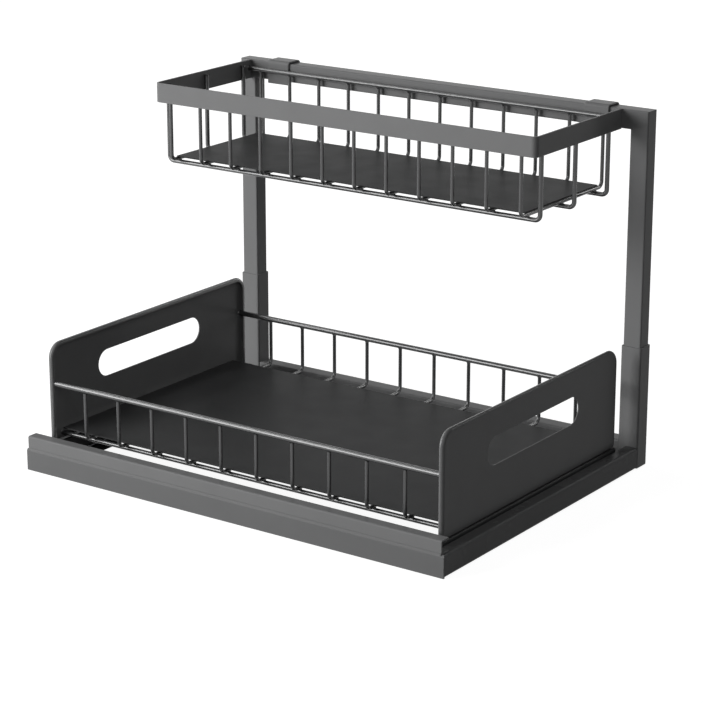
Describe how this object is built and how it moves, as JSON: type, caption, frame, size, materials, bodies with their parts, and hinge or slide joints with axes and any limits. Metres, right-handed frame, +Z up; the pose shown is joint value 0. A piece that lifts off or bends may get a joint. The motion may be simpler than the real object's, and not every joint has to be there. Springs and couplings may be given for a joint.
{
  "type": "under sink organizer",
  "caption": "Free-standing two-tier organizer: a wide pull-out tray on ball slides in a low base, and a narrow wire basket that hangs on strap hooks from a post frame.",
  "frame": {"origin": "on the floor, in the middle of the footprint", "axes": "+X from left to right seen from the front, -Y towards the front where the tray pulls out, +Z up"},
  "size_m": [0.4, 0.3016, 0.295],
  "materials": {
    "painted_sheet": "satin dark grey metallic powder coat on folded sheet and tube",
    "painted_wire": "satin dark grey metallic powder coat on round wire",
    "zinc_plated_steel": "bright zinc plate",
    "screw_steel": "black oxide",
    "foot_pad_plastic": "matt"
  },
  "bodies": {
    "base": {"base_rail_left": "painted_sheet", "base_rail_right": "painted_sheet", "rear_bar": "painted_sheet", "front_tie_bar": "painted_sheet", "post_sleeve_left": "painted_sheet", "post_sleeve_right": "painted_sheet", "post_left": "painted_sheet", "post_right": "painted_sheet", "crossbar": "painted_sheet", "post_screws": "screw_steel", "slide_outer_left": "zinc_plated_steel", "slide_outer_right": "zinc_plated_steel", "foot_pads": "foot_pad_plastic"},
    "cage_left": {"ball_retainer_left": "zinc_plated_steel"},
    "cage_right": {"ball_retainer_right": "zinc_plated_steel"},
    "tray": {"slide_inner_left": "zinc_plated_steel", "slide_inner_right": "zinc_plated_steel", "runner_left": "painted_sheet", "runner_right": "painted_sheet", "drawer_front": "painted_sheet", "front_lip": "painted_sheet", "tray_side_left": "painted_sheet", "tray_side_right": "painted_sheet", "tray_rim_wire_front": "painted_wire", "tray_rim_wire_rear": "painted_wire", "tray_cross_wire_01": "painted_wire", "tray_cross_wire_02": "painted_wire", "tray_cross_wire_03": "painted_wire", "tray_cross_wire_04": "painted_wire", "tray_cross_wire_05": "painted_wire", "tray_cross_wire_06": "painted_wire", "tray_cross_wire_07": "painted_wire", "tray_cross_wire_08": "painted_wire", "tray_cross_wire_09": "painted_wire", "tray_cross_wire_10": "painted_wire", "tray_floor_wire_front": "painted_wire", "tray_floor_wire_middle": "painted_wire", "tray_floor_wire_rear": "painted_wire", "tray_floor_panel": "painted_sheet"},
    "basket": {"basket_band": "painted_sheet", "basket_cross_wire_01": "painted_wire", "basket_cross_wire_02": "painted_wire", "basket_cross_wire_03": "painted_wire", "basket_cross_wire_04": "painted_wire", "basket_cross_wire_05": "painted_wire", "basket_cross_wire_06": "painted_wire", "basket_cross_wire_07": "painted_wire", "basket_cross_wire_08": "painted_wire", "basket_cross_wire_09": "painted_wire", "basket_cross_wire_10": "painted_wire", "basket_cross_wire_11": "painted_wire", "basket_cross_wire_12": "painted_wire", "basket_long_wire_front": "painted_wire", "basket_long_wire_middle": "painted_wire", "basket_long_wire_rear": "painted_wire", "basket_top_wire": "painted_wire", "basket_floor_panel": "painted_sheet", "hook_left": "painted_sheet", "hook_right": "painted_sheet"}
  },
  "joints": [
    {"name": "tray_slide", "type": "slide", "parent": "base", "child": "tray", "axis": [0, -1, 0], "range_m": [0, 0.19]},
    {"name": "cage_left_slide", "type": "slide", "parent": "base", "child": "cage_left", "axis": [0, -1, 0], "range_m": [0, 0.095]},
    {"name": "cage_right_slide", "type": "slide", "parent": "base", "child": "cage_right", "axis": [0, -1, 0], "range_m": [0, 0.095]},
    {"name": "basket_lift", "type": "slide", "parent": "base", "child": "basket", "axis": [0, 0, 1], "range_m": [0, 0.04]}
  ],
  "couplings": [
    {"joint": "cage_left_slide", "follows": "tray_slide", "ratio": 0.5},
    {"joint": "cage_right_slide", "follows": "tray_slide", "ratio": 0.5}
  ]
}
